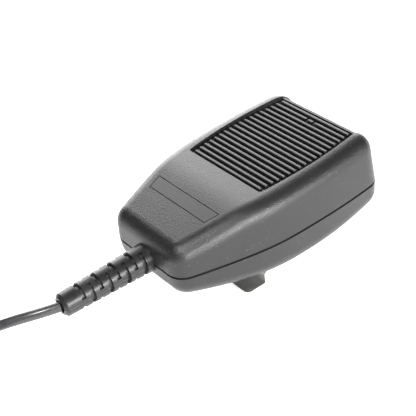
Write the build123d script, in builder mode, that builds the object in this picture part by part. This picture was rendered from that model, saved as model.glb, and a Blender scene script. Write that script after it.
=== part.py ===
from build123d import *
from math import atan, degrees, pi, radians, tan
import os

os.makedirs("parts", exist_ok=True)

# Hand microphone for a mobile transceiver, in millimetres.
# Origin: middle of the hang-up clip's resting face. +Y runs from the cord end to the top end,
# +Z comes out through the grille, +X is the right side with the grille up and the top end away.

# Driving dimensions
seam_height = 20.8  # seam between the two shells, above the resting face
tail_to_clip = 31.2  # cord-end face to the middle of the clip plate
case_length = 96.8
case_half = 31.8  # half the greatest width, at the seam
tail_half = 20.8  # half the width of the cord-end face, before its corners are rounded
top_half = 29.6
top_corner = 95.0
tail_round = 8.0
top_round = 8.6
draft = 4.0  # both shells narrow away from the seam by this angle
wall = 2.2
front_wall = 4.2  # thickness of the front face at the fold
grille_wall = 5.8  # and at the top end, under the grille's pocket
seam_groove = 1.0
tail_height = 11.4  # front face above the seam at the cord end
fold_at = 30.0  # the front face folds here, between the name plate and the grille
fold_height = 18.2
fold_round = 45.0
tail_slope = (fold_height - tail_height) / fold_at
top_slope = 0.0475
shoulder = 7.0
belly_depth = 14.8  # deepest point of the rear shell below the seam
belly_at = 50.0
belly_end_depth = 7.3
belly_reach = 56.0
beyond = 110.0  # past the top end, for cutting profiles

rib_count = 18
rib_pitch = 2.667
rib_first = 42.9
rib_width = 1.55
rib_height = 1.3
rib_slope = 0.033
rib_level = 18.5  # top of the first rib above the seam
insert_plate = 1.5
screen_thickness = 0.3
pocket_start = 40.9
pocket_end = 90.9

relief_length = 38.0
relief_root = 5.9
relief_tip = 4.7
relief_pitch = 3.8
relief_first = 3.4
slot_width = 1.8
slot_depth = 1.5
slot_arc = 140  # each slot runs part of the way round
relief_stations = 8
relief_seat = 4.3  # radius of the hole in the case for the sleeve's neck
relief_flange = 5.8
cord_radius = 2.0

clip_half = 25.5
clip_front = 26.6
clip_web = 35.6
clip_steel = 1.2
clip_flange = -14.6  # upper face of the clip's flange, against the rear shell
clip_tail = 60.0
clip_bend = 1.7  # outer radius of each bend

coil_turn_radii = (18.0, 26.0)  # innermost and outermost turn
coil_layers = 4
coil_centre = (-8.0, -101.0)

# Planes: heights and distances are measured from the middle of the cord-end face, at the seam
seam = Plane(origin=(0, -tail_to_clip, seam_height))
side = Plane(origin=seam.origin, x_dir=(0, 1, 0), z_dir=(1, 0, 0))


def level(height):
    """Horizontal plane at a height above the seam."""
    return seam.offset(height)


def across(distance):
    """Upright plane across the case, facing the cord end, at a distance from the cord-end face."""
    return Plane(
        origin=seam.from_local_coords((0, distance, 0)), x_dir=(1, 0, 0), z_dir=(0, -1, 0)
    )


def spot(x, distance, height):
    """A point of the case in the model's frame."""
    return seam.from_local_coords((x, distance, height))


def upright(x, distance, height):
    """Horizontal plane whose own origin is a point of the case."""
    return Plane(origin=spot(x, distance, height))


rib_tilt = degrees(atan(rib_slope))
rib_middle = rib_first + rib_pitch * (rib_count - 1) / 2
rib_plane = Plane(
    origin=spot(0, rib_middle, rib_level + rib_slope * (rib_middle - rib_first)),
    x_dir=(1, 0, 0),
    z_dir=(0, -rib_slope, 1),
)


def rib_top(distance):
    return rib_level + rib_slope * (distance - rib_first)


def rib_half(index):
    """Half the length of a rib: the middle ribs are the longest."""
    step = index - 9
    return 22.1 - 0.045 * step - 0.0255 * step**2


def case_outline(plane, inset=0.0):
    """Plan of the case at the seam: straight tail, swelling sides, shallow arc at the top end."""
    flank = [(24.3, 11.0), (28.5, 26.5), (31.2, 41.0), (case_half, 54.0), (31.75, 67.0), (31.1, 80.0)]
    with BuildSketch(plane) as plan:
        with BuildLine():
            Line((-tail_half + inset, inset), (tail_half - inset, inset))
            right = Spline(
                (tail_half - inset, inset),
                *[(x - inset, y) for x, y in flank],
                (top_half - inset, top_corner - inset),
            )
            ThreePointArc(
                (top_half - inset, top_corner - inset),
                (0, case_length - inset),
                (-top_half + inset, top_corner - inset),
            )
            mirror(right, about=Plane.YZ)
        make_face()
        fillet(plan.vertices().group_by(Axis.Y)[0], tail_round - inset)
        fillet(plan.vertices().filter_by(lambda corner: corner.Y > 90), top_round - inset)
    return plan.sketch


def outer_rim(solid, upwards):
    """Edges round the outside of the faces that look up, or down."""
    caps = [face for face in solid.faces() if face.normal_at().Z * upwards > 0.9]
    edges = [edge for face in caps for edge in face.edges()]
    return [edge for edge in edges if sum(edge.is_same(other) for other in edges) == 1]


def front_volume(inset, tail_drop, top_drop):
    """Front half of the case: drafted plan under a folded front face, with a rounded shoulder."""
    with BuildPart() as volume:
        with BuildSketch(side) as profile:
            with BuildLine():
                Polyline(
                    (-8, -1),
                    (-8, tail_height - 8 * tail_slope - tail_drop),
                    (fold_at, fold_height - tail_drop),
                    (beyond, fold_height + (beyond - fold_at) * top_slope - top_drop),
                    (beyond, -1),
                    close=True,
                )
            make_face()
            fillet(profile.vertices().sort_by_distance((fold_at, fold_height, 0))[0], fold_round)
        extrude(amount=50, both=True)
        add(case_outline(level(seam_groove / 2), inset))
        extrude(amount=24, taper=draft, mode=Mode.INTERSECT)
        fillet(outer_rim(volume, 1), shoulder - inset)
    return volume.part


def rear_volume(inset):
    """Rear half of the case: drafted plan cut by a long belly arc, with a rounded edge."""
    with BuildPart() as volume:
        with BuildSketch(side):
            with BuildLine():
                belly = ThreePointArc(
                    (belly_at - belly_reach, inset - belly_end_depth),
                    (belly_at, inset - belly_depth),
                    (belly_at + belly_reach, inset - belly_end_depth),
                )
                Polyline(belly @ 1, (belly_at + belly_reach, 1), (belly_at - belly_reach, 1), belly @ 0)
            make_face()
        extrude(amount=50, both=True)
        add(case_outline(level(-seam_groove / 2), inset))
        extrude(amount=-22, taper=draft, mode=Mode.INTERSECT)
        fillet(outer_rim(volume, -1), shoulder - inset)
    return volume.part


# Shared positions
case_screw_spots = [(-17.5, 11.5), (17.5, 11.5), (-22.0, 86.0), (22.0, 86.0)]
case_screw_seat = -7.5
board_top = -2.0
board_thickness = 1.6
board_screw_spots = [(-17.0, 25.0), (17.0, 25.0), (-13.0, 77.5), (13.0, 77.5)]
clamp_at = 8.6
clamp_screw_x = 6.2
clip_screw_x = 14.0
clip_screw_at = 50.0
element_at = 64.0
element_radius = 13.0
element_back, element_front = 5.2, 13.4
pocket_depth = rib_height + insert_plate + screen_thickness
button_from, button_to = 38.6, 79.4
button_low, button_high = 3.0, 12.0
pivot_x, pivot_at = -27.2, 42.0
pivot_radius = 1.0
plunger_at, plunger_level = 68.0, 4.6
button_inner = -25.2
button_proud = 1.6


plate_near, plate_far = 17.9, 23.4  # edges of the name plate, from the cord-end face
plate_middle = (plate_near + plate_far) / 2
plate_plane = Plane(
    origin=spot(0, plate_middle, tail_height + tail_slope * plate_middle),
    x_dir=(1, 0, 0),
    z_dir=(0, -tail_slope, 1),
)


def plate_outline(margin):
    """Name plate: a trapezoid that follows the narrowing case."""
    reach = (plate_far - plate_near) / 2 * (1 + tail_slope**2) ** 0.5
    with BuildSketch() as plan:
        Polygon((-17.1, -reach), (17.1, -reach), (18.7, reach), (-18.7, reach))
        if margin:
            offset(amount=margin, kind=Kind.INTERSECTION)
    return plan.sketch


def pocket_plan(plane, margin):
    """Plan of the grille: curved sides that keep the same gap to the rib ends, open at the top end."""
    near = rib_half(0) + 1.5 - margin
    middle = rib_half(8.5) + 1.5 - margin
    last = rib_half(rib_count - 1) + 1.5 - margin
    with BuildSketch(plane) as plan:
        with BuildLine():
            Line((-near, pocket_start + margin), (near, pocket_start + margin))
            right = ThreePointArc(
                (near, pocket_start + margin), (middle, rib_middle), (last, pocket_end)
            )
            mirror(right, about=Plane.YZ)
            Polyline((last, pocket_end), (last, beyond), (-last, beyond), (-last, pocket_end))
        make_face()
        fillet(plan.vertices().group_by(Axis.Y)[0], 1.2)
    return plan.sketch


# Outer and inner volumes of the two shells
front_outer = front_volume(0, 0, 0)
front_cavity = front_volume(wall, front_wall, grille_wall)
rear_outer = rear_volume(0)
rear_cavity = rear_volume(wall)

# Slope of the grille's top end: steep wall that runs down to the end face
end_wall_top = (pocket_end, rib_top(pocket_end) - 0.15)
end_wall_foot = (95.7, 11.4)
floor_end = 89.55
floor_foot = 9.6

# Grille pocket: flat floor, with a steep drop at the top end
with BuildPart() as grille_pocket:
    with BuildSketch(side):
        with BuildLine():
            Polyline(
                (pocket_start - 2, rib_top(pocket_start - 2) - pocket_depth),
                (floor_end, rib_top(floor_end) - pocket_depth),
                (93.5, floor_foot),
                (beyond, floor_foot),
                (beyond, 40),
                (pocket_start - 2, 40),
                close=True,
            )
        make_face()
    extrude(amount=50, both=True)
    add(pocket_plan(level(5), 0))
    extrude(amount=30, mode=Mode.INTERSECT)

with BuildPart() as front_shell:
    add(front_outer)
    add(front_cavity, mode=Mode.SUBTRACT)
    # Round collar that holds the element boot
    with BuildSketch(upright(0, element_at, 9.0)):
        Circle(element_radius + 4.2)
        Circle(element_radius + 2.4, mode=Mode.SUBTRACT)
    extrude(amount=6.5)
    # Screw bosses
    for x, at in case_screw_spots:
        with BuildSketch(upright(x, at, seam_groove / 2)):
            Circle(3.0)
        extrude(amount=12.0 if at < fold_at else 16.0)
    # Pivot boss above the button and shelf below it
    with BuildSketch(upright(pivot_x, pivot_at, button_high + 0.5)):
        Circle(2.4)
    extrude(amount=2.6)
    with BuildSketch(upright(pivot_x - 0.6, pivot_at, 0.6)):
        Rectangle(5.4, 5.2)
    extrude(amount=button_low - 0.9)
    add(front_outer, mode=Mode.INTERSECT)
    add(grille_pocket.part, mode=Mode.SUBTRACT)
    # Sound window, name plate recess, button window
    with BuildSketch(upright(0, element_at, 10)):
        Circle(element_radius - 0.8)
    extrude(amount=9, mode=Mode.SUBTRACT)
    with BuildSketch(plate_plane):
        add(plate_outline(0.3))
    extrude(amount=-0.55, mode=Mode.SUBTRACT)
    with BuildSketch(side.offset(-case_half - 4)):
        with Locations(((button_from + button_to) / 2, (button_low + button_high) / 2)):
            Rectangle(button_to - button_from + 1.2, button_high - button_low + 0.8)
    extrude(amount=9, mode=Mode.SUBTRACT)
    # Pilot holes and pivot hole
    for x, at in case_screw_spots:
        with BuildSketch(upright(x, at, 0)):
            Circle(1.3)
        extrude(amount=7.5, mode=Mode.SUBTRACT)
    with BuildSketch(upright(pivot_x, pivot_at, 1.2)):
        Circle(pivot_radius + 0.02)
    extrude(amount=12.6, mode=Mode.SUBTRACT)
    # Half of the strain relief's seat
    with BuildSketch(across(0.8)):
        Circle(relief_root + 0.1)
    extrude(amount=4, mode=Mode.SUBTRACT)
    with BuildSketch(across(wall + 1)):
        Circle(relief_seat)
    extrude(amount=wall + 2, mode=Mode.SUBTRACT)
front_shell.part.label = "front_shell"
export_step(front_shell.part, "parts/front_shell.step")

with BuildPart() as rear_shell:
    add(rear_outer)
    add(rear_cavity, mode=Mode.SUBTRACT)
    # Screw posts, board standoffs, clamp pillars, cord cradle and the pad over the clip
    for x, at in case_screw_spots:
        with BuildSketch(upright(x, at, 0.3)):
            Circle(4.2)
        extrude(amount=-15)
    for x, at in board_screw_spots:
        with BuildSketch(upright(x, at, board_top - board_thickness)):
            Circle(2.6)
        extrude(amount=-12)
    for x in (-clamp_screw_x, clamp_screw_x):
        with BuildSketch(upright(x, clamp_at, 0.7)):
            Circle(2.3)
        extrude(amount=-13)
    with BuildSketch(upright(0, clamp_at, -0.7)):
        Rectangle(8, 3.2)
    extrude(amount=-12)
    with BuildSketch(upright(0, 48, -11.8)):
        Rectangle(46, 28)
    extrude(amount=-3)
    add(rear_outer, mode=Mode.INTERSECT)
    # Counterbored screw holes
    for x, at in case_screw_spots:
        with BuildSketch(upright(x, at, 1)):
            Circle(1.5)
        extrude(amount=-20, mode=Mode.SUBTRACT)
        with BuildSketch(upright(x, at, case_screw_seat)):
            Circle(2.9)
        extrude(amount=-12, mode=Mode.SUBTRACT)
    for x, at in board_screw_spots:
        with BuildSketch(upright(x, at, board_top - board_thickness)):
            Circle(0.9)
        extrude(amount=-5.5, mode=Mode.SUBTRACT)
    for x in (-clamp_screw_x, clamp_screw_x):
        with BuildSketch(upright(x, clamp_at, 0.7)):
            Circle(0.9)
        extrude(amount=-6, mode=Mode.SUBTRACT)
    with BuildSketch(across(0)):
        Circle(cord_radius + 0.02)
    extrude(amount=-20, mode=Mode.SUBTRACT)
    # Recess for the clip's flange, and its screw holes
    with BuildSketch(upright(0, (clip_web + clip_tail) / 2, clip_flange)):
        Rectangle(2 * clip_half + 0.3, clip_tail - clip_web + 0.3)
    extrude(amount=-5, mode=Mode.SUBTRACT)
    for x in (-clip_screw_x, clip_screw_x):
        with BuildSketch(upright(x, clip_screw_at, -11)):
            Circle(1.35)
        extrude(amount=-6, mode=Mode.SUBTRACT)
    # Half of the strain relief's seat
    with BuildSketch(across(0.8)):
        Circle(relief_root + 0.1)
    extrude(amount=4, mode=Mode.SUBTRACT)
    with BuildSketch(across(wall + 1)):
        Circle(relief_seat)
    extrude(amount=wall + 2, mode=Mode.SUBTRACT)
rear_shell.part.label = "rear_shell"
export_step(rear_shell.part, "parts/rear_shell.step")

with BuildPart() as case_seal:
    # Soft ring that fills the seam, set back from the outside so that it reads as a groove
    with BuildSketch(level(-seam_groove / 2)):
        add(case_outline(Plane.XY, 0.6))
        add(case_outline(Plane.XY, wall), mode=Mode.SUBTRACT)
    extrude(amount=seam_groove)
    with BuildSketch(across(4)):
        Circle(relief_root + 0.1)
    extrude(amount=8, mode=Mode.SUBTRACT)
case_seal.part.label = "case_seal"
export_step(case_seal.part, "parts/case_seal.step")

with BuildPart() as case_screws:
    for x, at in case_screw_spots:
        with BuildSketch(upright(x, at, case_screw_seat)):
            Circle(1.25)
        extrude(amount=14.5)
        with BuildSketch(upright(x, at, case_screw_seat)):
            Circle(2.6)
        extrude(amount=-1.9)
        with BuildSketch(upright(x, at, case_screw_seat - 1.9)):
            Rectangle(3.0, 0.7)
            Rectangle(0.7, 3.0)
        extrude(amount=1.1, mode=Mode.SUBTRACT)
case_screws.part.label = "case_screws"
export_step(case_screws.part, "parts/case_screws.step")

with BuildPart() as grille_insert:
    # Plate with a steep end wall, trimmed to the outside of the case
    with BuildSketch(side):
        with BuildLine():
            Polyline(
                (pocket_start, rib_top(pocket_start) - rib_height - insert_plate),
                (floor_end + 0.15, rib_top(floor_end + 0.15) - rib_height - insert_plate),
                (93.65, floor_foot + 0.15),
                (96.6, floor_foot + 0.15),
                end_wall_foot,
                end_wall_top,
                (pocket_end - 1.1, rib_top(pocket_end - 1.1) - 0.15),
                (pocket_end - 1.1, rib_top(pocket_end - 1.1) - rib_height),
                (pocket_start, rib_top(pocket_start) - rib_height),
                close=True,
            )
        make_face()
    extrude(amount=50, both=True)
    add(pocket_plan(level(5), 0.12))
    extrude(amount=30, mode=Mode.INTERSECT)
    add(front_outer, mode=Mode.INTERSECT)
    # Round-ended ribs
    for index in range(rib_count):
        along = (index - (rib_count - 1) / 2) * rib_pitch
        with BuildSketch(rib_plane.offset(-rib_height)):
            with Locations((0, along)):
                SlotOverall(2 * rib_half(index), rib_width)
        extrude(amount=rib_height)
    fillet(grille_insert.faces().filter_by(
        lambda face: abs(face.normal_at().dot(rib_plane.z_dir) - 1) < 1e-4
        and abs(rib_plane.to_local_coords(face.center()).Z) < 0.01).edges(), 0.55)
    # Sound slots between the ribs
    for index in range(rib_count - 1):
        along = (index - (rib_count - 2) / 2) * rib_pitch
        with BuildSketch(rib_plane.offset(-rib_height)):
            with Locations((0, along)):
                SlotOverall(2 * rib_half(index) - 8, 0.8)
        extrude(amount=-insert_plate - 1, mode=Mode.SUBTRACT)
    # Two small notches in the last rib but one
    for x in (-1.1, 2.7):
        with BuildSketch(rib_plane.offset(-0.7)):
            with Locations((x, (rib_count / 2 - 1.5) * rib_pitch)):
                Rectangle(1.3, rib_pitch)
        extrude(amount=2, mode=Mode.SUBTRACT)
grille_insert.part.label = "grille_insert"
export_step(grille_insert.part, "parts/grille_insert.step")

with BuildPart() as dust_screen:
    with BuildSketch(rib_plane.offset(0.02 - pocket_depth)):
        RectangleRounded(38, 40, 3)
    extrude(amount=screen_thickness - 0.04)
dust_screen.part.label = "dust_screen"
export_step(dust_screen.part, "parts/dust_screen.step")

with BuildPart() as name_plate:
    with BuildSketch(plate_plane.offset(-0.55)):
        add(plate_outline(0))
    extrude(amount=0.55)
name_plate.part.label = "name_plate"
export_step(name_plate.part, "parts/name_plate.step")

with BuildPart() as strain_relief:
    # Tapered sleeve with a flange inside the case and a rounded, recessed tip
    with BuildSketch(side):
        with BuildLine():
            Polyline(
                (4.4, cord_radius + 0.04),
                (4.4, relief_flange),
                (wall + 0.7, relief_flange),
                (wall + 0.7, relief_seat - 0.1),
                (0.75, relief_seat - 0.1),
                (0.75, relief_root),
                (1.2 - relief_length, relief_tip),
                (-relief_length, relief_tip - 1.2),
                (-relief_length, cord_radius + 0.7),
                (1.3 - relief_length, cord_radius + 0.04),
                close=True,
            )
        make_face()
    revolve(axis=Axis(seam.origin, (0, 1, 0)))
    # Two part-round slots at each station, turned by a right angle from one station to the next
    for station in range(relief_stations):
        at = -relief_first - station * relief_pitch
        web = 90 if station % 2 == 0 else 176
        floor = relief_root + (relief_tip - relief_root) * -at / relief_length - slot_depth
        for turn in (0, 180):
            cut_plane = Plane(
                origin=spot(0, at, 0), x_dir=(0, 1, 0), z_dir=(0, 0, 1)
            ).rotated((0, -(web + turn + slot_arc / 2 - 90), 0))
            with BuildSketch(cut_plane):
                with Locations((0, floor + 3)):
                    Rectangle(slot_width, 6)
            revolve(axis=Axis(seam.origin, (0, 1, 0)), revolution_arc=slot_arc, mode=Mode.SUBTRACT)
strain_relief.part.label = "strain_relief"
export_step(strain_relief.part, "parts/strain_relief.step")

with BuildPart() as cord_inner:
    # The cord's sheath inside the strain relief, gripped by the clamp
    with BuildSketch(across(12)):
        Circle(cord_radius)
    extrude(amount=relief_length - 0.9 + 12)
cord_inner.part.label = "cord_inner"
export_step(cord_inner.part, "parts/cord_inner.step")

with BuildPart() as cord_clamp:
    with BuildSketch(upright(0, clamp_at, 0.7)):
        SlotOverall(4 * clamp_screw_x - 8, 4.6)
    extrude(amount=2.6)
    with BuildSketch(across(0)):
        Circle(cord_radius + 0.01)
    extrude(amount=-20, mode=Mode.SUBTRACT)
    for x in (-clamp_screw_x, clamp_screw_x):
        with BuildSketch(upright(x, clamp_at, 0)):
            Circle(1.0)
        extrude(amount=5, mode=Mode.SUBTRACT)
cord_clamp.part.label = "cord_clamp"
export_step(cord_clamp.part, "parts/cord_clamp.step")


def pan_screws(spots, seat, shank, head, head_height, reach, upwards=True):
    """Small pan-head screws with a slot, their heads on a seat."""
    way = 1 if upwards else -1
    with BuildPart() as screws:
        for x, at in spots:
            with BuildSketch(upright(x, at, seat)):
                Circle(shank)
            extrude(amount=-way * reach)
            with BuildSketch(upright(x, at, seat)):
                Circle(head)
            extrude(amount=way * head_height)
            with BuildSketch(upright(x, at, seat + way * head_height)):
                Rectangle(2 * head, 0.5)
            extrude(amount=-way * 0.6, mode=Mode.SUBTRACT)
    return screws.part


with BuildPart() as clamp_screws:
    clamp_spots = [(-clamp_screw_x, clamp_at), (clamp_screw_x, clamp_at)]
    add(pan_screws(clamp_spots, 3.3, 0.88, 1.7, 1.2, 8))
clamp_screws.part.label = "clamp_screws"
export_step(clamp_screws.part, "parts/clamp_screws.step")

with BuildPart() as circuit_board:
    with BuildSketch(upright(0, 0, board_top)):
        Polygon(
            (-14, 18), (14, 18), (22, 26), (22, 76), (17, 81), (-17, 81), (-22, 76), (-22, 26), align=None
        )
        with Locations(*board_screw_spots):
            Circle(1.1, mode=Mode.SUBTRACT)
    extrude(amount=-board_thickness)
circuit_board.part.label = "circuit_board"
export_step(circuit_board.part, "parts/circuit_board.step")

with BuildPart() as board_screws:
    add(pan_screws(board_screw_spots, board_top, 0.88, 1.8, 1.3, 6.5))
board_screws.part.label = "board_screws"
export_step(board_screws.part, "parts/board_screws.step")

with BuildPart() as amplifier_chip:
    with BuildSketch(upright(6, 42, board_top)):
        Rectangle(7, 5)
    extrude(amount=1.5)
amplifier_chip.part.label = "amplifier_chip"
export_step(amplifier_chip.part, "parts/amplifier_chip.step")

with BuildPart() as capacitors:
    for x, at in [(-8, 36), (-8, 44), (13, 50)]:
        with BuildSketch(upright(x, at, board_top)):
            Circle(2.5)
        extrude(amount=6)
capacitors.part.label = "capacitors"
export_step(capacitors.part, "parts/capacitors.step")

with BuildPart() as cord_connector:
    with BuildSketch(upright(0, 25, board_top)):
        Rectangle(12, 5)
    extrude(amount=5)
cord_connector.part.label = "cord_connector"
export_step(cord_connector.part, "parts/cord_connector.step")

with BuildPart() as cord_wires:
    # Four insulated conductors fan out from the sheath to the connector
    for index in range(4):
        near_x, far_x = (index - 1.5) * 0.9, (index - 1.5) * 2.6
        start, finish = Vector(*spot(near_x, 12.3, 0)), Vector(*spot(far_x, 22.5, 0.6))
        with BuildSketch(Plane(origin=start, z_dir=finish - start)):
            Circle(0.4)
        extrude(amount=(finish - start).length - 0.1)
cord_wires.part.label = "cord_wires"
export_step(cord_wires.part, "parts/cord_wires.step")

with BuildPart() as mic_element:
    # Dynamic element: stepped can with sound holes in its front
    with BuildSketch(upright(0, element_at, element_back)):
        Circle(element_radius)
    extrude(amount=element_front - element_back)
    with BuildSketch(upright(0, element_at, element_back)):
        Circle(element_radius - 3)
    extrude(amount=-1.4)
    with BuildSketch(upright(0, element_at, element_front)):
        Circle(0.9)
        with PolarLocations(5, 6):
            Circle(0.9)
        with PolarLocations(9, 12):
            Circle(0.9)
    extrude(amount=-0.8, mode=Mode.SUBTRACT)
mic_element.part.label = "mic_element"
export_step(mic_element.part, "parts/mic_element.step")

with BuildPart() as element_boot:
    # Rubber cup with a lip in front of the element
    with BuildSketch(upright(0, element_at, element_back - 0.6)):
        Circle(element_radius + 2.3)
    extrude(amount=9.9)
    with BuildSketch(upright(0, element_at, element_back)):
        Circle(element_radius)
    extrude(amount=element_front - element_back, mode=Mode.SUBTRACT)
    with BuildSketch(upright(0, element_at, 3)):
        Circle(element_radius - 2)
    extrude(amount=15, mode=Mode.SUBTRACT)
element_boot.part.label = "element_boot"
export_step(element_boot.part, "parts/element_boot.step")

with BuildPart() as element_leads:
    for x in (-3.5, 3.5):
        with BuildSketch(upright(x, element_at, board_top)):
            Circle(0.5)
        extrude(amount=3.8 - board_top)
element_leads.part.label = "element_leads"
export_step(element_leads.part, "parts/element_leads.step")

with BuildPart() as switch_body:
    with BuildSketch(upright(-19.3, plunger_at, board_top)):
        Rectangle(6.6, 14)
    extrude(amount=8.6)
    chamfer(switch_body.edges().group_by(Axis.Z)[-1], 0.4)
    with BuildSketch(side.offset(-22.6)):
        with Locations((plunger_at, plunger_level)):
            Circle(1.35)
    extrude(amount=5.4, mode=Mode.SUBTRACT)
switch_body.part.label = "switch_body"
export_step(switch_body.part, "parts/switch_body.step")

with BuildPart() as switch_plunger:
    with BuildSketch(side.offset(button_inner + 0.25)):
        with Locations((plunger_at, plunger_level)):
            Circle(1.3)
    extrude(amount=5.2)
    fillet(switch_plunger.edges().group_by(Axis.X)[0], 0.4)
switch_plunger.part.label = "switch_plunger"
export_step(switch_plunger.part, "parts/switch_plunger.step")

with BuildPart() as ptt_button:
    # Long bar that follows the side of the case, hinged at its cord end
    with BuildSketch(level(button_low)):
        add(case_outline(Plane.XY, -button_proud))
        with Locations(((button_inner - 40) / 2, (button_from + button_to) / 2)):
            Rectangle(40 + button_inner, button_to - button_from, mode=Mode.INTERSECT)
    extrude(amount=button_high - button_low)
    fillet(
        ptt_button.faces().filter_by(lambda face: face.normal_at().X < -0.9).edges(), 1.3
    )
    # Back of the bar is cut away between the hinge ear and the far end
    with BuildSketch(upright(0, 0, button_low)):
        with Locations((button_inner - 0.5, 54.5)):
            Rectangle(4.2, 18)
    extrude(amount=button_high - button_low, mode=Mode.SUBTRACT)
    with BuildSketch(upright(pivot_x, pivot_at, button_low)):
        Circle(pivot_radius + 0.06)
    extrude(amount=button_high - button_low, mode=Mode.SUBTRACT)
    # Room for the return spring round the pin
    with BuildSketch(upright(pivot_x, pivot_at, button_high - 3.4)):
        Circle(2.6)
    extrude(amount=3.4, mode=Mode.SUBTRACT)
ptt_button.part.label = "ptt_button"
export_step(ptt_button.part, "parts/ptt_button.step")

with BuildPart() as ptt_pin:
    with BuildSketch(upright(pivot_x, pivot_at, 1.3)):
        Circle(pivot_radius)
    extrude(amount=12.2)
ptt_pin.part.label = "ptt_pin"
export_step(ptt_pin.part, "parts/ptt_pin.step")

with BuildPart() as ptt_spring:
    # Small torsion spring round the pin, above the hinge ear
    with BuildLine():
        coil_base = spot(pivot_x, pivot_at, button_high - 3.0)
        coil = Helix(pitch=0.75, height=2.3, radius=1.65, center=coil_base)
    with BuildSketch(Plane(origin=coil @ 0, z_dir=coil % 0)):
        Circle(0.25)
    sweep(path=coil, is_frenet=True)
ptt_spring.part.label = "ptt_spring"
export_step(ptt_spring.part, "parts/ptt_spring.step")

with BuildPart() as hang_clip:
    # Hook of bent spring steel: flange on the back, drop, and a plate towards the cord end
    with BuildSketch(side):
        with BuildLine():
            Polyline(
                (clip_tail, clip_flange),
                (clip_web, clip_flange),
                (clip_web, clip_steel - seam_height),
                (clip_front, clip_steel - seam_height),
                (clip_front, -seam_height),
                (clip_web + clip_steel, -seam_height),
                (clip_web + clip_steel, clip_flange - clip_steel),
                (clip_tail, clip_flange - clip_steel),
                close=True,
            )
        make_face()
    extrude(amount=clip_half, both=True)
    for at, height, radius in [
        (clip_web, clip_flange, clip_bend),
        (clip_web + clip_steel, -seam_height, clip_bend),
        (clip_web, clip_steel - seam_height, clip_bend - clip_steel),
        (clip_web + clip_steel, clip_flange - clip_steel, clip_bend - clip_steel),
    ]:
        fillet(hang_clip.edges().filter_by(Axis.X).sort_by_distance(spot(0, at, height))[0], radius)
    fillet(hang_clip.edges().filter_by(Axis.Z).group_by(Axis.Y)[0], 2.0)
    fillet(hang_clip.edges().filter_by(Axis.Z).group_by(Axis.Y)[-1], 3.0)
    for x in (-clip_screw_x, clip_screw_x):
        with BuildSketch(upright(x, clip_screw_at, -10)):
            Circle(1.35)
        extrude(amount=-8, mode=Mode.SUBTRACT)
hang_clip.part.label = "hang_clip"
export_step(hang_clip.part, "parts/hang_clip.step")

with BuildPart() as clip_screws:
    clip_spots = [(-clip_screw_x, clip_screw_at), (clip_screw_x, clip_screw_at)]
    add(pan_screws(clip_spots, clip_flange - clip_steel, 1.2, 2.4, 1.3, 6.2, upwards=False))
clip_screws.part.label = "clip_screws"
export_step(clip_screws.part, "parts/clip_screws.step")

with BuildPart() as clip_nut_plate:
    with BuildSketch(upright(0, clip_screw_at, -11.8)):
        RectangleRounded(38, 9, 2)
        with Locations((-clip_screw_x, 0), (clip_screw_x, 0)):
            Circle(1.2, mode=Mode.SUBTRACT)
    extrude(amount=1.4)
clip_nut_plate.part.label = "clip_nut_plate"
export_step(clip_nut_plate.part, "parts/clip_nut_plate.step")

# Free cord: lead to the coil, coil, and tail to the plug
coil_mid_radius = sum(coil_turn_radii) / 2
floor_level = -seam_height + cord_radius
coil_top_level = floor_level + 2 * cord_radius * (coil_layers - 1)
coil_x, coil_y = coil_centre
coil_side = coil_x - coil_turn_radii[1]
plug_start = (1.9, -139.5, -11.8)
sleeve_length = 14.0
sleeve_radius = 4.4
gland_length = 5.0
plug_radius = 7.7
neck_radius = 6.9
shell_bore = 6.0
contact_ring = 3.9
contact_radius = 0.8
contacts_round = 7
nut_radius = 9.0

lead_route = [
    (0, -relief_length, 0),
    (-2.0, -43.6, -0.2),
    (-6.2, -50.6, -1.2),
    (-11.8, -57.6, -3.6),
    (-18.6, -64.6, -7.6),
    (-25.4, -72.4, -12.4),
    (-30.6, -81.4, -16.4),
    (-33.4, -91.0, -18.5),
    (coil_side, coil_y, floor_level),
]
tail_route = [
    (coil_side, coil_y, coil_top_level),
    (-34.8, -111.2, coil_top_level - 0.2),
    (-32.1, -121.1, coil_top_level - 0.9),
    (-26.4, -129.6, coil_top_level - 2.2),
    (-18.2, -135.8, coil_top_level - 3.8),
    (-8.4, -139.3, coil_top_level - 4.8),
    plug_start,
]


def cord_tube(route):
    """Round tube along straight runs joined by the largest arcs that the runs allow."""
    points = [Vector(*spot(*point)) for point in route]
    runs = [after - before for before, after in zip(points, points[1:])]
    radii = []
    for before, after in zip(runs, runs[1:]):
        half_turn = radians(before.get_angle(after)) / 2
        radii.append(0.45 * min(before.length, after.length) / tan(half_turn))
    with BuildLine(mode=Mode.PRIVATE) as path:
        FilletPolyline(*points, radius=radii)
    with BuildPart() as tube:
        with BuildSketch(Plane(origin=points[0], z_dir=runs[0])):
            Circle(cord_radius)
        sweep(path=path.wire())
    expected = pi * cord_radius**2 * path.wire().length
    print("cord radii", [round(radius, 1) for radius in radii], "length", round(path.wire().length, 1))
    print("tube volume", round(tube.part.volume, 1), "section times length", round(expected, 1))
    return tube.part


with BuildPart() as cord_lead:
    add(cord_tube(lead_route))
cord_lead.part.label = "cord_lead"
export_step(cord_lead.part, "parts/cord_lead.step")

with BuildPart() as cord_coil:
    # Outer shape of the turns, wound side by side in layers
    with BuildSketch(Plane(origin=spot(coil_x, coil_y, 0), x_dir=(1, 0, 0), z_dir=(0, -1, 0))):
        with Locations((coil_mid_radius, (floor_level + coil_top_level) / 2)):
            RectangleRounded(
                coil_turn_radii[1] - coil_turn_radii[0] + 2 * cord_radius,
                coil_top_level - floor_level + 2 * cord_radius,
                1.2,
            )
    revolve(axis=Axis(spot(coil_x, coil_y, 0), (0, 0, 1)))
cord_coil.part.label = "cord_coil"
export_step(cord_coil.part, "parts/cord_coil.step")

with BuildPart() as cord_tail:
    add(cord_tube(tail_route))
cord_tail.part.label = "cord_tail"
export_step(cord_tail.part, "parts/cord_tail.step")

# Round screw-on plug, lying along +X


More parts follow.
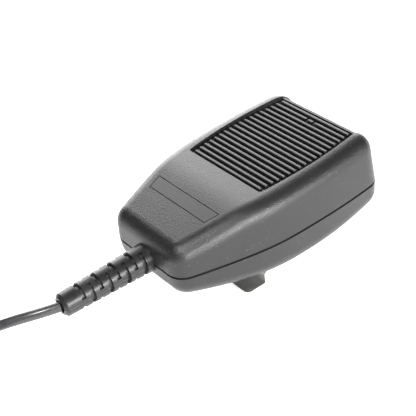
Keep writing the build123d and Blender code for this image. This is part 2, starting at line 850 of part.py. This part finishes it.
def along_plug(distance):
    """Plane across the plug at a distance from the end of its sleeve."""
    x, at, height = plug_start
    return Plane(origin=spot(x + distance, at, height), x_dir=(0, 1, 0), z_dir=(1, 0, 0))


with BuildPart() as plug_sleeve:
    with BuildSketch(along_plug(0)):
        Circle(3.1)
    with BuildSketch(along_plug(sleeve_length)):
        Circle(sleeve_radius + 0.2)
    loft()
    with BuildSketch(along_plug(sleeve_length)):
        Circle(sleeve_radius)
    extrude(amount=7)
plug_sleeve.part.label = "plug_sleeve"
export_step(plug_sleeve.part, "parts/plug_sleeve.step")

with BuildPart() as plug_gland:
    with BuildSketch(along_plug(sleeve_length)):
        Circle(6.4)
        Circle(sleeve_radius + 0.05, mode=Mode.SUBTRACT)
    extrude(amount=gland_length)
    with BuildSketch(along_plug(sleeve_length)):
        with PolarLocations(6.6, 16):
            Circle(0.5)
    extrude(amount=gland_length, mode=Mode.SUBTRACT)
plug_gland.part.label = "plug_gland"
export_step(plug_gland.part, "parts/plug_gland.step")

with BuildPart() as plug_body:
    with BuildSketch(along_plug(sleeve_length + gland_length)):
        Circle(plug_radius)
    extrude(amount=11)
    with BuildSketch(along_plug(30)):
        Circle(neck_radius)
    extrude(amount=6)
    with BuildSketch(along_plug(32.4)):
        Circle(plug_radius)
    extrude(amount=1.4)
    with BuildSketch(along_plug(21)):
        Circle(shell_bore)
    extrude(amount=20, mode=Mode.SUBTRACT)
    with BuildSketch(along_plug(18)):
        Circle(sleeve_radius + 0.05)
    extrude(amount=5, mode=Mode.SUBTRACT)
plug_body.part.label = "plug_body"
export_step(plug_body.part, "parts/plug_body.step")

with BuildPart() as plug_insert:
    with BuildSketch(along_plug(28)):
        Circle(shell_bore)
        with PolarLocations(contact_ring, contacts_round):
            Circle(contact_radius, mode=Mode.SUBTRACT)
        Circle(contact_radius, mode=Mode.SUBTRACT)
    extrude(amount=6)
plug_insert.part.label = "plug_insert"
export_step(plug_insert.part, "parts/plug_insert.step")

with BuildPart() as plug_sockets:
    with BuildSketch(along_plug(25.5)):
        with PolarLocations(contact_ring, contacts_round):
            Circle(contact_radius)
        Circle(contact_radius)
    extrude(amount=8)
plug_sockets.part.label = "plug_sockets"
export_step(plug_sockets.part, "parts/plug_sockets.step")

with BuildPart() as plug_nut:
    # Knurled coupling ring that turns freely on the plug's neck
    with BuildSketch(along_plug(30.3)):
        Circle(nut_radius)
        Circle(neck_radius + 0.1, mode=Mode.SUBTRACT)
    extrude(amount=1.7)
    with BuildSketch(along_plug(32)):
        Circle(nut_radius)
        Circle(nut_radius - 0.9, mode=Mode.SUBTRACT)
    extrude(amount=10)
    outer_circles = plug_nut.edges().filter_by(GeomType.CIRCLE)
    chamfer(outer_circles.filter_by(lambda edge: edge.radius > nut_radius - 0.1), 0.5)
    with BuildSketch(along_plug(31.5)):
        with PolarLocations(nut_radius + 0.1, 30):
            Circle(0.4)
    extrude(amount=9, mode=Mode.SUBTRACT)
plug_nut.part.label = "plug_nut"
export_step(plug_nut.part, "parts/plug_nut.step")
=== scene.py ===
import bpy, math
from mathutils import Matrix, Vector


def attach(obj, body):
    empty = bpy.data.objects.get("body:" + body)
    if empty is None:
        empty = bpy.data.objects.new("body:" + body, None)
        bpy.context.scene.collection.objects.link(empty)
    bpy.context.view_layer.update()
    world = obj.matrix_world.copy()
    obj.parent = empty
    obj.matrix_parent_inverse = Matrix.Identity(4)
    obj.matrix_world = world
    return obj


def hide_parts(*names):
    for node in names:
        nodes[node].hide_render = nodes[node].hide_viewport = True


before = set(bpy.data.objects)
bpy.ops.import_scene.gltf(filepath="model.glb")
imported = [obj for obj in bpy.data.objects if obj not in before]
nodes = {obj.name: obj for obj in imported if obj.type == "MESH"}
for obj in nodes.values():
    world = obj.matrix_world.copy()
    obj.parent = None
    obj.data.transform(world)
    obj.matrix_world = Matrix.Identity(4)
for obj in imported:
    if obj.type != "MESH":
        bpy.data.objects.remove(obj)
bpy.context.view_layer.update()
mm = 0.001
datum = Vector((0, -31.2, 20.8)) * mm   # middle of the cord-end face, at the seam
print("frame loaded:", len(nodes), "nodes")


def hexColour(code):
    # sRGB hex to the linear values that Blender's sockets take
    parts = [int(code[i:i + 2], 16) / 255 for i in (1, 3, 5)]
    linear = [c / 12.92 if c <= 0.04045 else ((c + 0.055) / 1.055) ** 2.4 for c in parts]
    return (*linear, 1.0)


def addNode(tree, kind, inputs=None, **settings):
    # one node with its settings; an input is a value, or the output that feeds it
    node = tree.nodes.new(kind)
    for name, value in settings.items():
        setattr(node, name, value)
    for name, value in (inputs or {}).items():
        if isinstance(value, bpy.types.NodeSocket):
            tree.links.new(value, node.inputs[name])
        else:
            node.inputs[name].default_value = value
    return node


def place(point):
    # millimetres from the datum to metres in the scene
    return datum + Vector(point) * mm


def newMaterial(name, **shader):
    # the material, its node tree, its shader, and the piece's own coordinates in metres
    material = bpy.data.materials.new(name)
    material.use_nodes = True
    tree = material.node_tree
    surface = tree.nodes["Principled BSDF"]
    for socket, value in shader.items():
        surface.inputs[socket].default_value = value
    where = addNode(tree, "ShaderNodeTexCoord")
    return material, tree, surface, where.outputs["Object"]


# a long lens, turned a little, so that the level case leans as it should
cameraSettings = {
    "azimuth": 57.58,
    "elevation": 35.46,
    "roll": -9.37,
    "distance": 0.4391,              # m
    "target": (-7.17, 35.92, 0.0),   # mm from the datum
    "lens": 96.05,
    "sensor": 36.0,
    "clipStart": 0.01,               # m
}


def makeCamera(settings):
    azimuth, elevation, roll = (math.radians(settings[k]) for k in ("azimuth", "elevation", "roll"))
    back = Vector((math.sin(azimuth) * math.cos(elevation),
                   -math.cos(azimuth) * math.cos(elevation), math.sin(elevation)))
    right = Vector((math.cos(azimuth), math.sin(azimuth), 0))
    up = back.cross(right)
    turnedRight = math.cos(roll) * right + math.sin(roll) * up
    turnedUp = math.cos(roll) * up - math.sin(roll) * right
    data = bpy.data.cameras.new("studioCamera")
    data.lens = settings["lens"]
    data.sensor_width = settings["sensor"]
    data.clip_start = settings["clipStart"]
    camera = bpy.data.objects.new("studioCamera", data)
    axes = Matrix((turnedRight, turnedUp, back)).transposed().to_4x4()
    axes.translation = place(settings["target"]) + back * settings["distance"]
    camera.matrix_world = axes
    bpy.context.scene.collection.objects.link(camera)
    bpy.context.scene.camera = camera


makeCamera(cameraSettings)
print("camera set")


# one 1.8 m cord from the strain relief, through the coil, to the plug; in mm from the datum
cordSettings = {
    "diameter": 4.0,
    "length": 1800.0,
    "exit": (0, -38.0, 0),
    "coilCentre": (-8.0, -101.0),
    "turnRadii": (26.0, 22.0, 18.0),
    "layers": 4,
    "floor": -18.8,          # cord's centre when it lies on the table
    "pointsPerTurn": 16,
    "crossover": 0.22,       # part of a turn in which the cord moves over to the next place
    "curveOrder": 3,
    "stepsAlong": 6,         # between two points of the route
    "roundness": 6,          # gives the cord's section 16 sides
    "lead": [                # from the strain relief down to the coil
        (0, -38.0, 0),
        (-2.0, -43.6, -0.2),
        (-6.2, -50.6, -1.2),
        (-11.8, -57.6, -3.6),
        (-18.6, -64.6, -7.6),
        (-25.4, -72.4, -12.4),
        (-30.6, -81.4, -16.4),
        (-33.4, -91.0, -18.5),
    ],
    "tail": [                # from the coil's last turn to the plug
        (-34.8, -111.2, -7.0),
        (-32.1, -121.1, -7.7),
        (-26.4, -129.6, -9.0),
        (-18.2, -135.8, -10.6),
        (-8.4, -139.3, -11.6),
        (1.9, -139.5, -11.8),
    ],
}


def coilPlaces(settings):
    # radius and height of each turn: out to in, up one, in to out, and so on
    places = []
    for layer in range(settings["layers"]):
        radii = settings["turnRadii"] if layer % 2 == 0 else settings["turnRadii"][::-1]
        height = settings["floor"] + layer * settings["diameter"]
        places += [(radius, height) for radius in radii]
    return places


def coilPoints(settings):
    places = coilPlaces(settings)
    centreX, centreY = settings["coilCentre"]
    count = settings["pointsPerTurn"]
    crossover = settings["crossover"]
    points = []
    for turn, (radius, height) in enumerate(places):
        nextRadius, nextHeight = places[min(turn + 1, len(places) - 1)]
        for step in range(count):
            share = step / count
            blend = max(0.0, (share - 1 + crossover) / crossover)
            blend = blend * blend * (3 - 2 * blend)     # eased at both ends
            angle = math.pi + 2 * math.pi * share
            reach = radius + (nextRadius - radius) * blend
            points.append((centreX + reach * math.cos(angle), centreY + reach * math.sin(angle),
                           height + (nextHeight - height) * blend))
    lastRadius, lastHeight = places[-1]
    points.append((centreX - lastRadius, centreY, lastHeight))
    return points


def makeCord(settings):
    points = settings["lead"] + coilPoints(settings) + settings["tail"]
    data = bpy.data.curves.new("cordCurve", "CURVE")
    data.dimensions = "3D"
    line = data.splines.new("NURBS")
    line.points.add(len(points) - 1)
    for control, point in zip(line.points, points):
        control.co = (*place(point), 1)
        control.radius = settings["diameter"] / 2 * mm
    line.order_u = settings["curveOrder"]
    line.use_endpoint_u = True
    line.resolution_u = settings["stepsAlong"]
    data.bevel_depth = 1.0        # times each point's radius
    data.bevel_resolution = settings["roundness"]
    data.use_fill_caps = True
    cord = bpy.data.objects.new("cord", data)
    bpy.context.scene.collection.objects.link(cord)
    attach(cord, "case")
    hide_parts("cord_lead", "cord_coil", "cord_tail")
    return cord


cord = makeCord(cordSettings)
print("cord laid")


# a light table under the microphone, and soft boxes round it, as for a catalogue
studioSettings = {
    "floorSize": 6.0,                   # m
    "floorColour": "#f0f0f0",
    "floorGlow": 0.85,                  # light that comes up through the white acrylic
    "floorGrain": 900.0,                # spots per metre, so about 1.1 mm each
    "floorRoughness": (0.85, 0.95),
    "skyColour": "#ffffff",
    "skyStrength": 0.06,
    # name: place (m), aim (m), width and height (m), power (W)
    "lights": {
        "softBoxBehind": ((-0.80, 0.50, 0.56), (0.0, 0.02, 0.0), (1.0, 0.75), 13.0),
        "cardBehind": ((-1.05, 0.66, 0.14), (0.0, 0.02, 0.02), (1.3, 0.24), 8.0),
        "stripRight": ((1.02, 0.02, 0.32), (0.0, 0.02, 0.02), (0.8, 0.09), 20.0),
        "smallAbove": ((0.26, -0.46, 0.88), (0.0, 0.0, 0.02), (0.10, 0.10), 9.0),
    },
}


def opalAcrylic(look):
    # cast opal acrylic with a matt face: even and white, with no sheen to give it away
    material, tree, surface, where = newMaterial("opalAcrylic")
    grain = addNode(tree, "ShaderNodeTexNoise", {
        "Vector": where, "Scale": look["floorGrain"], "Detail": 3.0})
    low, high = look["floorRoughness"]
    rough = addNode(tree, "ShaderNodeMapRange", {
        "Value": grain.outputs["Fac"], "To Min": low, "To Max": high})
    tree.links.new(rough.outputs["Result"], surface.inputs["Roughness"])
    surface.inputs["Base Color"].default_value = hexColour(look["floorColour"])
    surface.inputs["Emission Color"].default_value = hexColour(look["floorColour"])
    surface.inputs["Emission Strength"].default_value = look["floorGlow"]
    return material


def makeStudio(settings):
    half = settings["floorSize"] / 2
    sheet = bpy.data.meshes.new("floor")
    sheet.from_pydata([(-half, -half, 0), (half, -half, 0), (half, half, 0), (-half, half, 0)],
                      [], [(0, 1, 2, 3)])
    floor = bpy.data.objects.new("floor", sheet)
    bpy.context.scene.collection.objects.link(floor)
    sheet.materials.append(opalAcrylic(settings))

    world = bpy.data.worlds.new("studioSky")
    world.use_nodes = True
    sky = world.node_tree.nodes["Background"]
    sky.inputs["Color"].default_value = hexColour(settings["skyColour"])
    sky.inputs["Strength"].default_value = settings["skyStrength"]
    bpy.context.scene.world = world

    for name, (spot, aim, size, power) in settings["lights"].items():
        light = bpy.data.lights.new(name, "AREA")
        light.shape = "RECTANGLE"
        light.size, light.size_y = size
        light.energy = power
        lamp = bpy.data.objects.new(name, light)
        lamp.location = spot
        lamp.rotation_euler = (Vector(aim) - Vector(spot)).to_track_quat("-Z", "Y").to_euler()
        bpy.context.scene.collection.objects.link(lamp)
    bpy.context.scene.view_settings.view_transform = "Standard"


makeStudio(studioSettings)
print("studio ready")


def dress(material, *names):
    for name in names:
        piece = nodes[name]
        if not piece.material_slots:
            piece.data.materials.append(material)
        for slot in piece.material_slots:
            slot.material = material


caseAbs = {
    "ior": 1.54,
    "colour": "#1d1d1e",
    "deep": "#171718",        # where the melt cooled more slowly
    "mottle": 9.0,            # mm
    "roughness": (0.3, 0.46),
    "grain": 0.5,             # mm; the real spark-eroded grain is near 0.12 and would not show
    "grainHeight": 0.15,      # mm
    "dust": "#7e7e7e",
    "dustPitch": 2.0,         # mm
    "dustRadius": 0.18,       # mm
    "dustCover": 0.75,        # how much of the plastic's colour a speck hides
}


def mouldedAbs(name, look):
    # injection-moulded ABS from a spark-eroded mould: matt, with a sandy sparkle in the highlights
    material, tree, surface, where = newMaterial(name, IOR=look["ior"])
    mottle = addNode(tree, "ShaderNodeTexNoise", {
        "Vector": where, "Scale": 1 / (look["mottle"] * mm), "Detail": 4.0})
    body = addNode(tree, "ShaderNodeMixRGB", {
        "Fac": mottle.outputs["Fac"], "Color1": hexColour(look["deep"]),
        "Color2": hexColour(look["colour"])})
    cells = addNode(tree, "ShaderNodeTexVoronoi", {
        "Vector": where, "Scale": 1 / (look["dustPitch"] * mm)})
    edge = look["dustRadius"] / look["dustPitch"]
    speck = addNode(tree, "ShaderNodeMapRange", {
        "Value": cells.outputs["Distance"], "From Min": edge / 2, "From Max": edge,
        "To Min": look["dustCover"], "To Max": 0.0})
    tint = addNode(tree, "ShaderNodeMixRGB", {
        "Fac": speck.outputs["Result"], "Color1": body.outputs["Color"],
        "Color2": hexColour(look["dust"])})
    grain = addNode(tree, "ShaderNodeTexNoise", {
        "Vector": where, "Scale": 1 / (look["grain"] * mm), "Detail": 2.0, "Roughness": 0.6})
    low, high = look["roughness"]
    rough = addNode(tree, "ShaderNodeMapRange", {
        "Value": grain.outputs["Fac"], "To Min": low, "To Max": high})
    bump = addNode(tree, "ShaderNodeBump", {
        "Height": grain.outputs["Fac"], "Strength": 1.0, "Distance": look["grainHeight"] * mm})
    tree.links.new(tint.outputs["Color"], surface.inputs["Base Color"])
    tree.links.new(rough.outputs["Result"], surface.inputs["Roughness"])
    tree.links.new(bump.outputs["Normal"], surface.inputs["Normal"])
    return material


dress(mouldedAbs("charcoalAbs", caseAbs), "front_shell", "rear_shell")

# the grille's ribs come from a smoother part of the mould, and are darker and less sandy
grilleAbs = dict(caseAbs, colour="#151516", deep="#101011", roughness=(0.36, 0.5), grain=0.36,
                 grainHeight=0.018, dustPitch=3.1)
dress(mouldedAbs("grilleAbs", grilleAbs), "grille_insert")

# the bar is the case's plastic in a finer grain, rubbed a little lighter by the thumb
buttonAbs = dict(caseAbs, colour="#1f1f20", deep="#1a1a1b", roughness=(0.36, 0.48), grain=0.4)
dress(mouldedAbs("buttonAbs", buttonAbs), "ptt_button")

# glass-filled nylon from the mould: a flat dark grey
switchNylon = dict(caseAbs, colour="#35363a", deep="#2c2d30", roughness=(0.4, 0.5), dustPitch=6.0)
dress(mouldedAbs("switchNylon", switchNylon), "switch_body", "plug_insert", "cord_connector")

# natural acetal: milky, smooth and a little waxy
plungerAcetal = dict(caseAbs, colour="#b8b4a8", deep="#aaa698", roughness=(0.28, 0.38), grain=0.6,
                     grainHeight=0.008, dustPitch=8.0)
dress(mouldedAbs("plungerAcetal", plungerAcetal), "switch_plunger")

# transfer-moulded epoxy: dull black-grey
chipEpoxy = dict(caseAbs, colour="#26262a", deep="#1f1f22", roughness=(0.5, 0.62), grain=0.3,
                 dustPitch=7.0)
dress(mouldedAbs("chipEpoxy", chipEpoxy), "amplifier_chip")

plateFilm = {
    "ior": 1.58,
    "colour": "#1b1b1c",
    "paintedHollowShade": 0.82,           # times the colour: painted shade in the dips of the stipple
    "roughness": (0.34, 0.5),
    "stipplePitch": 0.45,     # mm across the plate
    "stippleLength": 1.2,     # mm along it
    "stippleHeight": 0.07,    # mm
    "stippleStrength": 0.6,
}


def printedFilm(name, look):
    # matt polycarbonate label film, embossed with a fine stipple: a shade smoother than the case,
    # with painted shade darkening the dips of its stipple
    material, tree, surface, where = newMaterial(name, IOR=look["ior"])
    across = 1 / (look["stipplePitch"] * mm)
    along = 1 / (look["stippleLength"] * mm)
    stretch = addNode(tree, "ShaderNodeMapping", {
        "Vector": where, "Scale": (along, across, across)})
    stipple = addNode(tree, "ShaderNodeTexNoise", {
        "Vector": stretch.outputs["Vector"], "Scale": 1.0, "Detail": 2.0})
    base = hexColour(look["colour"])
    # painted shade: the colour is darkened where the stipple is low
    tint = addNode(tree, "ShaderNodeMixRGB", {
        "Fac": stipple.outputs["Fac"], "Color1": (*[c * look["paintedHollowShade"] for c in base[:3]], 1.0),
        "Color2": base})
    low, high = look["roughness"]
    rough = addNode(tree, "ShaderNodeMapRange", {
        "Value": stipple.outputs["Fac"], "To Min": low, "To Max": high})
    bump = addNode(tree, "ShaderNodeBump", {
        "Height": stipple.outputs["Fac"], "Strength": look["stippleStrength"],
        "Distance": look["stippleHeight"] * mm})
    tree.links.new(tint.outputs["Color"], surface.inputs["Base Color"])
    tree.links.new(rough.outputs["Result"], surface.inputs["Roughness"])
    tree.links.new(bump.outputs["Normal"], surface.inputs["Normal"])
    return material


dress(printedFilm("labelFilm", plateFilm), "name_plate")
print("plastics done")


reliefRubber = {
    "ior": 1.52,
    "colour": "#191919",
    "roughness": (0.3, 0.46),
    "bloom": "#2b2b2c",       # greyish wax that comes to the surface
    "bloomSize": 5.0,         # mm
    "bloomStart": 0.42,       # value of the pattern where the bloom begins
    "bloomFull": 0.8,         # and where it is strongest
    "bloomCover": 0.8,        # how much of the rubber's colour it then hides
    "skinPitch": 0.5,         # mm
    "skinHeight": 0.006,      # mm
    "partingHalf": 0.3,       # mm
    "partingHeight": 0.2,     # mm
}


def mouldedRubber(name, look, parting=False):
    # compression-moulded black rubber: deep, semi-gloss, with a faint grey bloom and a parting line
    material, tree, surface, where = newMaterial(name, IOR=look["ior"])
    bloom = addNode(tree, "ShaderNodeTexNoise", {
        "Vector": where, "Scale": 1 / (look["bloomSize"] * mm), "Detail": 5.0, "Roughness": 0.6})
    share = addNode(tree, "ShaderNodeMapRange", {
        "Value": bloom.outputs["Fac"], "From Min": look["bloomStart"],
        "From Max": look["bloomFull"], "To Min": 0.0, "To Max": look["bloomCover"]})
    tint = addNode(tree, "ShaderNodeMixRGB", {
        "Fac": share.outputs["Result"], "Color1": hexColour(look["colour"]),
        "Color2": hexColour(look["bloom"])})
    low, high = look["roughness"]
    rough = addNode(tree, "ShaderNodeMapRange", {
        "Value": bloom.outputs["Fac"], "To Min": low, "To Max": high})
    skin = addNode(tree, "ShaderNodeTexNoise", {
        "Vector": where, "Scale": 1 / (look["skinPitch"] * mm), "Detail": 2.0})
    grain = addNode(tree, "ShaderNodeMapRange", {
        "Value": skin.outputs["Fac"], "To Min": 0.0, "To Max": look["skinHeight"] * mm})
    height = grain.outputs["Result"]
    if parting:      # a ridge at the datum's level, where the two halves of the mould met
        axes = addNode(tree, "ShaderNodeSeparateXYZ", {"Vector": where})
        offset = addNode(tree, "ShaderNodeMath", {0: axes.outputs["Z"], 1: datum.z},
                         operation="SUBTRACT")
        away = addNode(tree, "ShaderNodeMath", {0: offset.outputs[0]}, operation="ABSOLUTE")
        ridge = addNode(tree, "ShaderNodeMapRange", {
            "Value": away.outputs[0], "From Min": 0.0, "From Max": look["partingHalf"] * mm,
            "To Min": look["partingHeight"] * mm, "To Max": 0.0})
        total = addNode(tree, "ShaderNodeMath", {0: height, 1: ridge.outputs["Result"]},
                        operation="ADD")
        height = total.outputs[0]
    bump = addNode(tree, "ShaderNodeBump", {"Height": height, "Strength": 1.0, "Distance": 1.0})
    tree.links.new(tint.outputs["Color"], surface.inputs["Base Color"])
    tree.links.new(rough.outputs["Result"], surface.inputs["Roughness"])
    tree.links.new(bump.outputs["Normal"], surface.inputs["Normal"])
    return material


dress(mouldedRubber("blackRubber", reliefRubber, parting=True), "strain_relief")

# the same rubber, dull from the mould, for parts sunk in shadow: black rubber darkened further to
# dead black as painted shade, with no shine
shadedSealRubber = dict(reliefRubber, colour="#040404", bloom="#080808", roughness=(0.8, 0.95))
dress(mouldedRubber("shadedSealRubber", shadedSealRubber), "case_seal", "element_boot")

# the plug's sleeve is the strain relief's rubber, a shade lighter
sleeveRubber = dict(reliefRubber, colour="#1f1f21", bloomSize=3.0)
dress(mouldedRubber("sleeveRubber", sleeveRubber), "plug_sleeve")

jacketPvc = {
    "ior": 1.53,
    "colour": "#3a3a3b",
    "roughness": (0.22, 0.34),
    "scuff": "#4a4a4b",
    "scuffSize": 3.0,         # mm
    "scuffStart": 0.5,        # value of the pattern where a scuff begins
    "scuffFull": 0.8,         # and where it is strongest
    "scuffCover": 0.7,        # how much of the jacket's colour it then hides
    "scuffHeight": 0.02,      # mm
    "scuffStrength": 0.5,
}


def extrudedPvc(name, look):
    # extruded flexible PVC: smooth, slightly waxy, with a long soft highlight and small scuffs
    material, tree, surface, where = newMaterial(name, IOR=look["ior"])
    scuff = addNode(tree, "ShaderNodeTexNoise", {
        "Vector": where, "Scale": 1 / (look["scuffSize"] * mm), "Detail": 6.0, "Roughness": 0.65})
    share = addNode(tree, "ShaderNodeMapRange", {
        "Value": scuff.outputs["Fac"], "From Min": look["scuffStart"],
        "From Max": look["scuffFull"], "To Min": 0.0, "To Max": look["scuffCover"]})
    tint = addNode(tree, "ShaderNodeMixRGB", {
        "Fac": share.outputs["Result"], "Color1": hexColour(look["colour"]),
        "Color2": hexColour(look["scuff"])})
    low, high = look["roughness"]
    rough = addNode(tree, "ShaderNodeMapRange", {
        "Value": scuff.outputs["Fac"], "To Min": low, "To Max": high})
    bump = addNode(tree, "ShaderNodeBump", {
        "Height": scuff.outputs["Fac"], "Strength": look["scuffStrength"],
        "Distance": look["scuffHeight"] * mm})
    tree.links.new(tint.outputs["Color"], surface.inputs["Base Color"])
    tree.links.new(rough.outputs["Result"], surface.inputs["Roughness"])
    tree.links.new(bump.outputs["Normal"], surface.inputs["Normal"])
    return material


jacket = extrudedPvc("jacketPvc", jacketPvc)
cord.data.materials.append(jacket)
dress(jacket, "cord_inner")

# hook-up wire in red insulation, and the blue shrunk sleeves of the capacitors
wirePvc = dict(jacketPvc, colour="#8a2f2a", scuff="#96423c")
dress(extrudedPvc("wirePvc", wirePvc), "cord_wires", "element_leads")
capacitorPvc = dict(jacketPvc, colour="#23304e", scuff="#2c3a5a", roughness=(0.2, 0.3))
dress(extrudedPvc("capacitorPvc", capacitorPvc), "capacitors")
print("rubber and cord jacket done")


clipSteel = {
    "colour": "#f0f0ee",
    "shade": "#dededc",
    "cloudSize": 6.0,         # mm, of the patches between the two colours
    "roughness": (0.36, 0.6),
    "rollPitch": 0.3,         # mm between rolling lines
    "rollLength": 16.0,       # mm
    "lineHeight": 0.008,      # mm
    "lineStrength": 0.7,
}


def rolledMetal(name, look):
    # cold-rolled strip, bent and nickel plated: bright, with faint lines the way it was rolled
    material, tree, surface, where = newMaterial(name, Metallic=1.0)
    across = 1 / (look["rollPitch"] * mm)
    along = 1 / (look["rollLength"] * mm)
    stretch = addNode(tree, "ShaderNodeMapping", {
        "Vector": where, "Scale": (along, across, across)})
    lines = addNode(tree, "ShaderNodeTexNoise", {
        "Vector": stretch.outputs["Vector"], "Scale": 1.0, "Detail": 3.0})
    cloud = addNode(tree, "ShaderNodeTexNoise", {
        "Vector": where, "Scale": 1 / (look["cloudSize"] * mm), "Detail": 4.0})
    tint = addNode(tree, "ShaderNodeMixRGB", {
        "Fac": cloud.outputs["Fac"], "Color1": hexColour(look["shade"]),
        "Color2": hexColour(look["colour"])})
    low, high = look["roughness"]
    rough = addNode(tree, "ShaderNodeMapRange", {
        "Value": lines.outputs["Fac"], "To Min": low, "To Max": high})
    bump = addNode(tree, "ShaderNodeBump", {
        "Height": lines.outputs["Fac"], "Strength": look["lineStrength"],
        "Distance": look["lineHeight"] * mm})
    tree.links.new(tint.outputs["Color"], surface.inputs["Base Color"])
    tree.links.new(rough.outputs["Result"], surface.inputs["Roughness"])
    tree.links.new(bump.outputs["Normal"], surface.inputs["Normal"])
    return material


dress(rolledMetal("nickelledSteel", clipSteel), "hang_clip")

# barrel-plated zinc on steel: greyer, with short fine rubs instead of long lines
screwSteel = dict(clipSteel, colour="#b4b3af", shade="#8f8e8a", rollPitch=0.15, rollLength=0.5,
                  roughness=(0.28, 0.42))
dress(rolledMetal("zincedSteel", screwSteel), "clip_screws", "case_screws", "board_screws",
      "clamp_screws", "clip_nut_plate", "ptt_pin", "ptt_spring", "cord_clamp")

# spun aluminium can: pale and satin
elementAluminium = dict(clipSteel, colour="#c4c6c8", shade="#a6a8aa", roughness=(0.34, 0.5))
dress(rolledMetal("spunAluminium", elementAluminium), "mic_element")

# turned brass under nickel: warm and nearly polished
plugNickel = dict(clipSteel, colour="#c6c3bb", shade="#a8a59d", rollPitch=0.2, rollLength=0.2,
                  roughness=(0.16, 0.28), lineHeight=0.003)
dress(rolledMetal("turnedNickel", plugNickel), "plug_body", "plug_nut", "plug_gland")

# turned brass under a flash of gold: yellow, with soft reflections
contactGold = dict(clipSteel, colour="#d6b25e", shade="#b8934a", rollPitch=0.2, rollLength=0.4,
                   roughness=(0.2, 0.3), lineHeight=0.002)
dress(rolledMetal("gildedBrass", contactGold), "plug_sockets")
print("metals done")


boardLaminate = {
    "ior": 1.5,
    "mask": "#1f5a38",
    "weave": "#2b6a45",
    "roughness": 0.3,
    "threadPitch": 0.8,       # mm; glass cloth is woven near 0.5, which would not show
    "weaveHeight": 0.01,      # mm
    "weaveStrength": 0.5,
}


def glassLaminate(name, look):
    # glass-epoxy sheet under green solder mask: glossy, the cloth's weave just showing through
    material, tree, surface, where = newMaterial(name, IOR=look["ior"], Roughness=look["roughness"])
    rate = math.pi / (look["threadPitch"] * mm)
    axes = addNode(tree, "ShaderNodeSeparateXYZ", {"Vector": where})
    waves = []
    for axis in ("X", "Y"):
        turn = addNode(tree, "ShaderNodeMath", {0: axes.outputs[axis], 1: rate},
                       operation="MULTIPLY")
        wave = addNode(tree, "ShaderNodeMath", {0: turn.outputs[0]}, operation="SINE")
        waves.append(wave.outputs[0])
    weave = addNode(tree, "ShaderNodeMath", {0: waves[0], 1: waves[1]}, operation="MULTIPLY")
    share = addNode(tree, "ShaderNodeMapRange", {
        "Value": weave.outputs[0], "From Min": -1.0, "From Max": 1.0})
    tint = addNode(tree, "ShaderNodeMixRGB", {
        "Fac": share.outputs["Result"], "Color1": hexColour(look["mask"]),
        "Color2": hexColour(look["weave"])})
    bump = addNode(tree, "ShaderNodeBump", {
        "Height": share.outputs["Result"], "Strength": look["weaveStrength"],
        "Distance": look["weaveHeight"] * mm})
    tree.links.new(tint.outputs["Color"], surface.inputs["Base Color"])
    tree.links.new(bump.outputs["Normal"], surface.inputs["Normal"])
    return material


dress(glassLaminate("greenLaminate", boardLaminate), "circuit_board")

# plain-woven polyester cloth: the same weave, black and quite matt
screenCloth = dict(boardLaminate, mask="#0e0e0f", weave="#1d1d1e", threadPitch=0.45, roughness=0.85)
dress(glassLaminate("wovenPolyester", screenCloth), "dust_screen")
print("board and cloth done")

bpy.context.view_layer.update()
